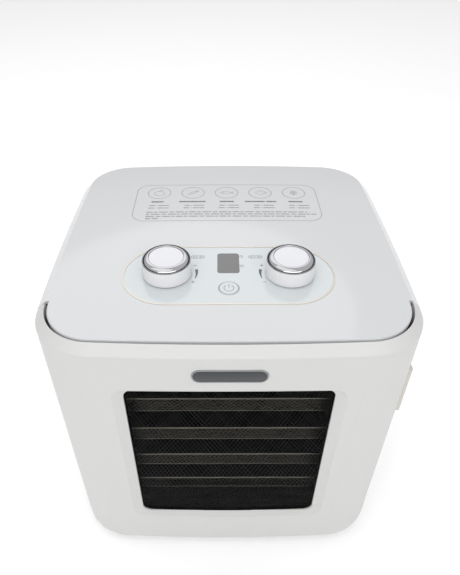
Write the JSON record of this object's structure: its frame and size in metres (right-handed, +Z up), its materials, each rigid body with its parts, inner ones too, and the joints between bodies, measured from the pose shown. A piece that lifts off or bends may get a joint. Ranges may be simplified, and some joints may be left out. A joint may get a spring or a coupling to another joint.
{
  "type": "food dehydrator",
  "caption": "White box food dehydrator with a windowed wrap-around door, rotary knobs and a display on top, and mesh trays, a fan and a heater inside.",
  "frame": {"origin": "bottom centre of the whole object, on the floor plane that the feet stand on; the bounding box's own middle is within 1.5 mm of it", "axes": "+Z up, -Y towards the door, +X to the right of a person facing the door"},
  "size_m": [0.3026, 0.2935, 0.3041],
  "materials": {
    "white_gloss": "satin gloss",
    "white_satin": "fine satin",
    "panel_gloss": "gloss",
    "knob_white": "gloss",
    "chrome": "polished",
    "trim_gold": "satin champagne",
    "display_grey": "smoked",
    "badge_grey": "satin",
    "smoked_glass": "tinted",
    "black_plastic": "matte",
    "grip_cream": "satin",
    "rubber_black": "matte",
    "seal_grey": "matte",
    "steel": "brushed",
    "dark_enamel": "baked enamel",
    "tray_steel": "drawn wire",
    "board_green": "solder mask",
    "brass": "turned"
  },
  "bodies": {
    "cabinet": {"base_plate": "white_satin", "body_shell": "white_satin", "rubber_feet": "rubber_black", "rear_grille": "white_satin", "seam_plate": "white_satin", "chamber_liner": "dark_enamel", "front_frame": "black_plastic", "left_runner": "dark_enamel", "right_runner": "dark_enamel", "rear_baffle": "dark_enamel", "fan_housing": "dark_enamel", "heater_element": "steel", "motor_bracket": "steel", "fan_motor": "steel", "thermal_cutout": "black_plastic", "air_sensor": "brass", "power_inlet": "black_plastic", "hinge_brackets": "steel", "hinge_pins": "steel", "magnet_catch": "steel", "electronics_deck": "white_satin", "control_board": "board_green", "supply_board": "board_green", "display_module": "black_plastic", "button_switch": "black_plastic", "top_lid": "white_gloss", "panel_trim": "trim_gold", "panel_inlay": "panel_gloss", "display_window": "display_grey", "button_spring": "steel", "cabinet_screws": "steel", "left_encoder": "black_plastic", "right_encoder": "black_plastic"},
    "door": {"door_shell": "white_satin", "door_liner": "black_plastic", "window_glass": "smoked_glass", "window_frame": "black_plastic", "door_seal": "seal_grey", "badge_plate": "badge_grey", "magnet_strike": "steel", "door_grip": "grip_cream", "hinge_bushes": "brass", "door_screws": "steel"},
    "left_knob": {"left_knob_body": "knob_white", "left_knob_ring": "chrome", "left_knob_cap": "knob_white", "left_knob_shaft": "brass"},
    "right_knob": {"right_knob_body": "knob_white", "right_knob_ring": "chrome", "right_knob_cap": "knob_white", "right_knob_shaft": "brass"},
    "button": {"power_button": "knob_white"},
    "fan": {"fan_impeller": "black_plastic", "motor_shaft": "steel"},
    "drip_tray_body": {"drip_tray": "black_plastic"},
    "tray_1_body": {"tray_1": "tray_steel"},
    "tray_2_body": {"tray_2": "tray_steel"},
    "tray_3_body": {"tray_3": "tray_steel"},
    "tray_4_body": {"tray_4": "tray_steel"},
    "tray_5_body": {"tray_5": "tray_steel"}
  },
  "joints": [
    {"name": "door_hinge", "type": "hinge", "parent": "cabinet", "child": "door", "pos_m": [-0.1459, -0.0946, 0.1465], "axis": [0, 0, -1], "range_deg": [0, 95]},
    {"name": "left_knob_turn", "type": "hinge", "parent": "cabinet", "child": "left_knob", "pos_m": [-0.0503, -0.0572, 0.29], "axis": [0, 0, 1], "continuous": true},
    {"name": "right_knob_turn", "type": "hinge", "parent": "cabinet", "child": "right_knob", "pos_m": [0.0503, -0.0572, 0.29], "axis": [0, 0, 1], "continuous": true},
    {"name": "power_button_press", "type": "slide", "parent": "cabinet", "child": "button", "axis": [0, 0, -1], "range_m": [0, 0.0012], "stiffness_N_per_m": 300, "springref_m": -0.002, "deforming": ["button_spring"]},
    {"name": "fan_spin", "type": "hinge", "parent": "cabinet", "child": "fan", "pos_m": [0, 0.1, 0.1485], "axis": [0, 1, 0], "continuous": true},
    {"name": "drip_tray_slide", "type": "slide", "parent": "cabinet", "child": "drip_tray_body", "axis": [0, -1, 0], "range_m": [0, 0.005]},
    {"name": "tray_1_slide", "type": "slide", "parent": "cabinet", "child": "tray_1_body", "axis": [0, -1, 0], "range_m": [0, 0.005]},
    {"name": "tray_2_slide", "type": "slide", "parent": "cabinet", "child": "tray_2_body", "axis": [0, -1, 0], "range_m": [0, 0.005]},
    {"name": "tray_3_slide", "type": "slide", "parent": "cabinet", "child": "tray_3_body", "axis": [0, -1, 0], "range_m": [0, 0.005]},
    {"name": "tray_4_slide", "type": "slide", "parent": "cabinet", "child": "tray_4_body", "axis": [0, -1, 0], "range_m": [0, 0.005]},
    {"name": "tray_5_slide", "type": "slide", "parent": "cabinet", "child": "tray_5_body", "axis": [0, -1, 0], "range_m": [0, 0.005]}
  ]
}
